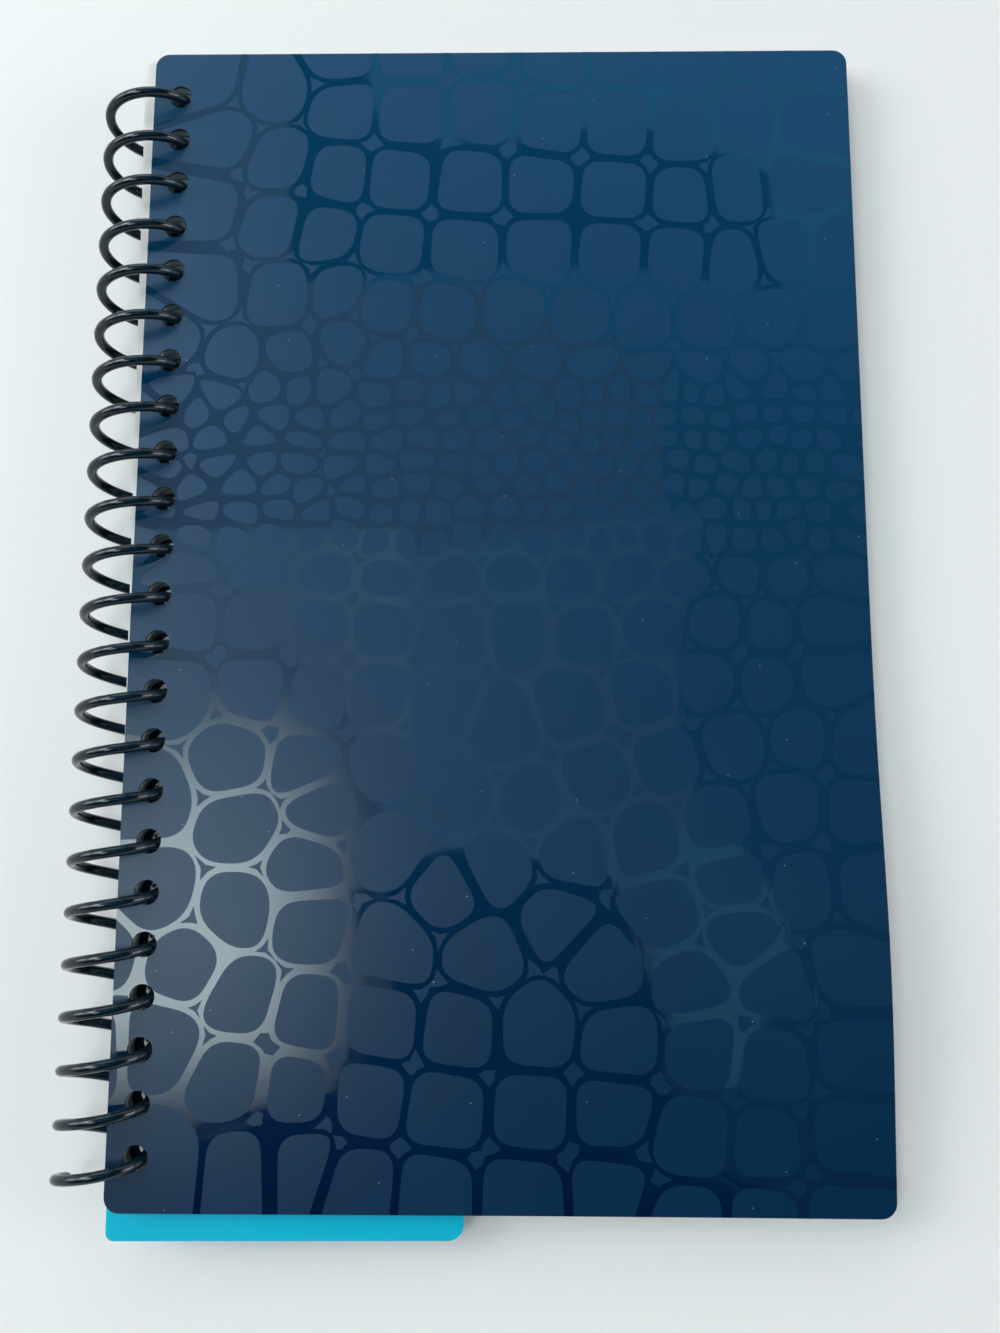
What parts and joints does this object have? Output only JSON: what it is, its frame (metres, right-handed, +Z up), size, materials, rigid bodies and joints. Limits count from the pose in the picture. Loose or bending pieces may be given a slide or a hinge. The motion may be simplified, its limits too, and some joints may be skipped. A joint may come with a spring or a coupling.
{
  "type": "coil-bound notebook",
  "caption": "Pocket notebook with dark card covers, punched page sections and a teal page marker, all threaded on a plastic spiral coil so that each leaf turns about the spine.",
  "frame": {"origin": "on the table plane, under the middle of the whole notebook's box", "axes": "+X across the page away from the spine, +Y up the page along the coil, +Z up out of the front cover"},
  "size_m": [0.1372, 0.2082, 0.0162],
  "materials": {
    "cover_card": "matt laminated card with a gloss varnish pattern",
    "page_paper": "uncoated off-white paper",
    "marker_plastic": "smooth teal sheet plastic",
    "coil_plastic": "glossy dark navy plastic filament"
  },
  "bodies": {
    "base": {"back_cover": "cover_card", "binding_coil": "coil_plastic"},
    "page_section_16": {"page_section_16": "page_paper"},
    "page_section_15": {"page_section_15": "page_paper"},
    "page_section_14": {"page_section_14": "page_paper"},
    "page_section_13": {"page_section_13": "page_paper"},
    "page_section_12": {"page_section_12": "page_paper"},
    "page_section_11": {"page_section_11": "page_paper"},
    "page_section_10": {"page_section_10": "page_paper"},
    "page_section_9": {"page_section_9": "page_paper"},
    "page_marker": {"page_marker": "marker_plastic"},
    "page_section_8": {"page_section_8": "page_paper"},
    "page_section_7": {"page_section_7": "page_paper"},
    "page_section_6": {"page_section_6": "page_paper"},
    "page_section_5": {"page_section_5": "page_paper"},
    "page_section_4": {"page_section_4": "page_paper"},
    "page_section_3": {"page_section_3": "page_paper"},
    "page_section_2": {"page_section_2": "page_paper"},
    "page_section_1": {"page_section_1": "page_paper"},
    "front_cover": {"front_cover": "cover_card"}
  },
  "joints": [
    {"name": "section_16_turn", "type": "hinge", "parent": "base", "child": "page_section_16", "pos_m": [-0.06046, 0.00147, 0.00811], "axis": [0, -1, 0], "range_deg": [0, 180]},
    {"name": "section_15_turn", "type": "hinge", "parent": "page_section_16", "child": "page_section_15", "pos_m": [-0.06046, 0.00147, 0.00811], "axis": [0, -1, 0], "range_deg": [0, 180]},
    {"name": "section_14_turn", "type": "hinge", "parent": "page_section_15", "child": "page_section_14", "pos_m": [-0.06046, 0.00147, 0.00811], "axis": [0, -1, 0], "range_deg": [0, 180]},
    {"name": "section_13_turn", "type": "hinge", "parent": "page_section_14", "child": "page_section_13", "pos_m": [-0.06046, 0.00147, 0.00811], "axis": [0, -1, 0], "range_deg": [0, 180]},
    {"name": "section_12_turn", "type": "hinge", "parent": "page_section_13", "child": "page_section_12", "pos_m": [-0.06046, 0.00147, 0.00811], "axis": [0, -1, 0], "range_deg": [0, 180]},
    {"name": "section_11_turn", "type": "hinge", "parent": "page_section_12", "child": "page_section_11", "pos_m": [-0.06046, 0.00147, 0.00811], "axis": [0, -1, 0], "range_deg": [0, 180]},
    {"name": "section_10_turn", "type": "hinge", "parent": "page_section_11", "child": "page_section_10", "pos_m": [-0.06046, 0.00147, 0.00811], "axis": [0, -1, 0], "range_deg": [0, 180]},
    {"name": "section_9_turn", "type": "hinge", "parent": "page_section_10", "child": "page_section_9", "pos_m": [-0.06046, 0.00147, 0.00811], "axis": [0, -1, 0], "range_deg": [0, 180]},
    {"name": "marker_turn", "type": "hinge", "parent": "page_section_9", "child": "page_marker", "pos_m": [-0.06046, 0.00147, 0.00811], "axis": [0, -1, 0], "range_deg": [0, 180]},
    {"name": "section_8_turn", "type": "hinge", "parent": "page_marker", "child": "page_section_8", "pos_m": [-0.06046, 0.00147, 0.00811], "axis": [0, -1, 0], "range_deg": [0, 180]},
    {"name": "section_7_turn", "type": "hinge", "parent": "page_section_8", "child": "page_section_7", "pos_m": [-0.06046, 0.00147, 0.00811], "axis": [0, -1, 0], "range_deg": [0, 180]},
    {"name": "section_6_turn", "type": "hinge", "parent": "page_section_7", "child": "page_section_6", "pos_m": [-0.06046, 0.00147, 0.00811], "axis": [0, -1, 0], "range_deg": [0, 180]},
    {"name": "section_5_turn", "type": "hinge", "parent": "page_section_6", "child": "page_section_5", "pos_m": [-0.06046, 0.00147, 0.00811], "axis": [0, -1, 0], "range_deg": [0, 180]},
    {"name": "section_4_turn", "type": "hinge", "parent": "page_section_5", "child": "page_section_4", "pos_m": [-0.06046, 0.00147, 0.00811], "axis": [0, -1, 0], "range_deg": [0, 180]},
    {"name": "section_3_turn", "type": "hinge", "parent": "page_section_4", "child": "page_section_3", "pos_m": [-0.06046, 0.00147, 0.00811], "axis": [0, -1, 0], "range_deg": [0, 180]},
    {"name": "section_2_turn", "type": "hinge", "parent": "page_section_3", "child": "page_section_2", "pos_m": [-0.06046, 0.00147, 0.00811], "axis": [0, -1, 0], "range_deg": [0, 180]},
    {"name": "section_1_turn", "type": "hinge", "parent": "page_section_2", "child": "page_section_1", "pos_m": [-0.06046, 0.00147, 0.00811], "axis": [0, -1, 0], "range_deg": [0, 180]},
    {"name": "front_cover_turn", "type": "hinge", "parent": "page_section_1", "child": "front_cover", "pos_m": [-0.06046, 0.00147, 0.00811], "axis": [0, -1, 0], "range_deg": [0, 180]}
  ]
}
